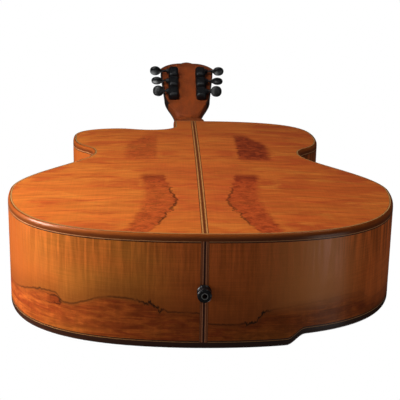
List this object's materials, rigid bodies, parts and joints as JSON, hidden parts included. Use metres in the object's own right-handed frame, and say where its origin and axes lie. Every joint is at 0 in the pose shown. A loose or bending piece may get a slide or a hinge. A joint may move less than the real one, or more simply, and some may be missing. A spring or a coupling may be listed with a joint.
{
  "type": "grand auditorium guitar",
  "caption": "Acoustic guitar with a cutaway body, arm bevel, domed spalted back, end pin jack and a tilted headstock with sealed worm tuners.",
  "frame": {"origin": "middle of the neck at the nut, in the plane of the soundboard's face, where the arms of a wall hanger's yoke close round the neck under the headstock", "axes": "+Z along the neck to the headstock, -Y out of the soundboard, +X to the treble side"},
  "size_m": [0.406, 0.1357, 1.0687],
  "materials": {
    "side_maple": "gloss lacquer over flamed spalted maple",
    "back_maple": "gloss lacquer over flamed spalted maple",
    "inner_maple": "bare wood",
    "brace_spruce": "bare wood",
    "top_spruce": "gloss lacquer over straight-grained spruce",
    "inlay_ebony": "gloss lacquer",
    "ebony": "oiled dark wood",
    "binding_rosewood": "gloss lacquer",
    "neck_mahogany": "satin lacquer",
    "block_mahogany": "bare wood",
    "bone": "polished bone",
    "rod_steel": "plain",
    "jack_black": "black plated",
    "tuner_black": "black satin",
    "post_steel": "dark nickel",
    "plain_string": "bright drawn wire",
    "wound_string": "bronze winding"
  },
  "bodies": {
    "guitar": {"side_treble": "side_maple", "side_bass": "side_maple", "end_graft_front": "inlay_ebony", "end_graft_back": "inlay_ebony", "binding_back": "binding_rosewood", "binding_top": "binding_rosewood", "lining_back_treble": "brace_spruce", "lining_top_treble": "brace_spruce", "lining_back_bass": "brace_spruce", "lining_top_bass": "brace_spruce", "soundboard": "top_spruce", "arm_bevel": "ebony", "back_treble": "back_maple", "back_bass": "back_maple", "back_center_strip": "inlay_ebony", "tail_block": "block_mahogany", "neck_block": "block_mahogany", "x_brace_treble": "brace_spruce", "x_brace_bass": "brace_spruce", "transverse_brace": "brace_spruce", "tone_bar_upper": "brace_spruce", "tone_bar_lower": "brace_spruce", "back_brace_lower": "brace_spruce", "back_brace_middle": "brace_spruce", "back_brace_upper": "brace_spruce", "bridge": "ebony", "saddle": "bone", "bridge_plate": "inner_maple", "endpin_jack": "jack_black", "fretboard": "ebony", "neck": "neck_mahogany", "headstock_veneer": "ebony", "truss_rod": "rod_steel", "truss_rod_cover": "ebony", "nut": "bone", "heel_cap": "binding_rosewood", "tuner_housing_1": "tuner_black", "tuner_housing_2": "tuner_black", "tuner_housing_3": "tuner_black", "tuner_housing_4": "tuner_black", "tuner_housing_5": "tuner_black", "tuner_housing_6": "tuner_black", "string_1": "plain_string", "string_2": "plain_string", "string_3": "wound_string", "string_4": "wound_string", "string_5": "wound_string", "string_6": "wound_string"},
    "button_6": {"tuner_button_6": "tuner_black"},
    "post_6": {"string_post_6": "post_steel"},
    "button_5": {"tuner_button_5": "tuner_black"},
    "post_5": {"string_post_5": "post_steel"},
    "button_4": {"tuner_button_4": "tuner_black"},
    "post_4": {"string_post_4": "post_steel"},
    "button_3": {"tuner_button_3": "tuner_black"},
    "post_3": {"string_post_3": "post_steel"},
    "button_2": {"tuner_button_2": "tuner_black"},
    "post_2": {"string_post_2": "post_steel"},
    "button_1": {"tuner_button_1": "tuner_black"},
    "post_1": {"string_post_1": "post_steel"}
  },
  "joints": [
    {"name": "button_6_turn", "type": "hinge", "parent": "guitar", "child": "button_6", "pos_m": [-0.024, 0.04789, 0.06994], "axis": [1, 0, 0], "continuous": true},
    {"name": "post_6_turn", "type": "hinge", "parent": "guitar", "child": "post_6", "pos_m": [-0.024, 0.03918, 0.06325], "axis": [0, -0.9537, 0.3007], "continuous": true, "deforming": ["string_6"]},
    {"name": "button_5_turn", "type": "hinge", "parent": "guitar", "child": "button_5", "pos_m": [-0.024, 0.05872, 0.10428], "axis": [1, 0, 0], "continuous": true},
    {"name": "post_5_turn", "type": "hinge", "parent": "guitar", "child": "post_5", "pos_m": [-0.024, 0.05, 0.09759], "axis": [0, -0.9537, 0.3007], "continuous": true, "deforming": ["string_5"]},
    {"name": "button_4_turn", "type": "hinge", "parent": "guitar", "child": "button_4", "pos_m": [-0.024, 0.06954, 0.13861], "axis": [1, 0, 0], "continuous": true},
    {"name": "post_4_turn", "type": "hinge", "parent": "guitar", "child": "post_4", "pos_m": [-0.024, 0.06083, 0.13192], "axis": [0, -0.9537, 0.3007], "continuous": true, "deforming": ["string_4"]},
    {"name": "button_3_turn", "type": "hinge", "parent": "guitar", "child": "button_3", "pos_m": [0.024, 0.06954, 0.13861], "axis": [1, 0, 0], "continuous": true},
    {"name": "post_3_turn", "type": "hinge", "parent": "guitar", "child": "post_3", "pos_m": [0.024, 0.06083, 0.13192], "axis": [0, -0.9537, 0.3007], "continuous": true, "deforming": ["string_3"]},
    {"name": "button_2_turn", "type": "hinge", "parent": "guitar", "child": "button_2", "pos_m": [0.024, 0.05872, 0.10428], "axis": [1, 0, 0], "continuous": true},
    {"name": "post_2_turn", "type": "hinge", "parent": "guitar", "child": "post_2", "pos_m": [0.024, 0.05, 0.09759], "axis": [0, -0.9537, 0.3007], "continuous": true, "deforming": ["string_2"]},
    {"name": "button_1_turn", "type": "hinge", "parent": "guitar", "child": "button_1", "pos_m": [0.024, 0.04789, 0.06994], "axis": [1, 0, 0], "continuous": true},
    {"name": "post_1_turn", "type": "hinge", "parent": "guitar", "child": "post_1", "pos_m": [0.024, 0.03918, 0.06325], "axis": [0, -0.9537, 0.3007], "continuous": true, "deforming": ["string_1"]}
  ],
  "couplings": [
    {"joint": "post_6_turn", "follows": "button_6_turn", "ratio": -0.055556},
    {"joint": "post_5_turn", "follows": "button_5_turn", "ratio": -0.055556},
    {"joint": "post_4_turn", "follows": "button_4_turn", "ratio": -0.055556},
    {"joint": "post_3_turn", "follows": "button_3_turn", "ratio": 0.055556},
    {"joint": "post_2_turn", "follows": "button_2_turn", "ratio": 0.055556},
    {"joint": "post_1_turn", "follows": "button_1_turn", "ratio": 0.055556}
  ]
}
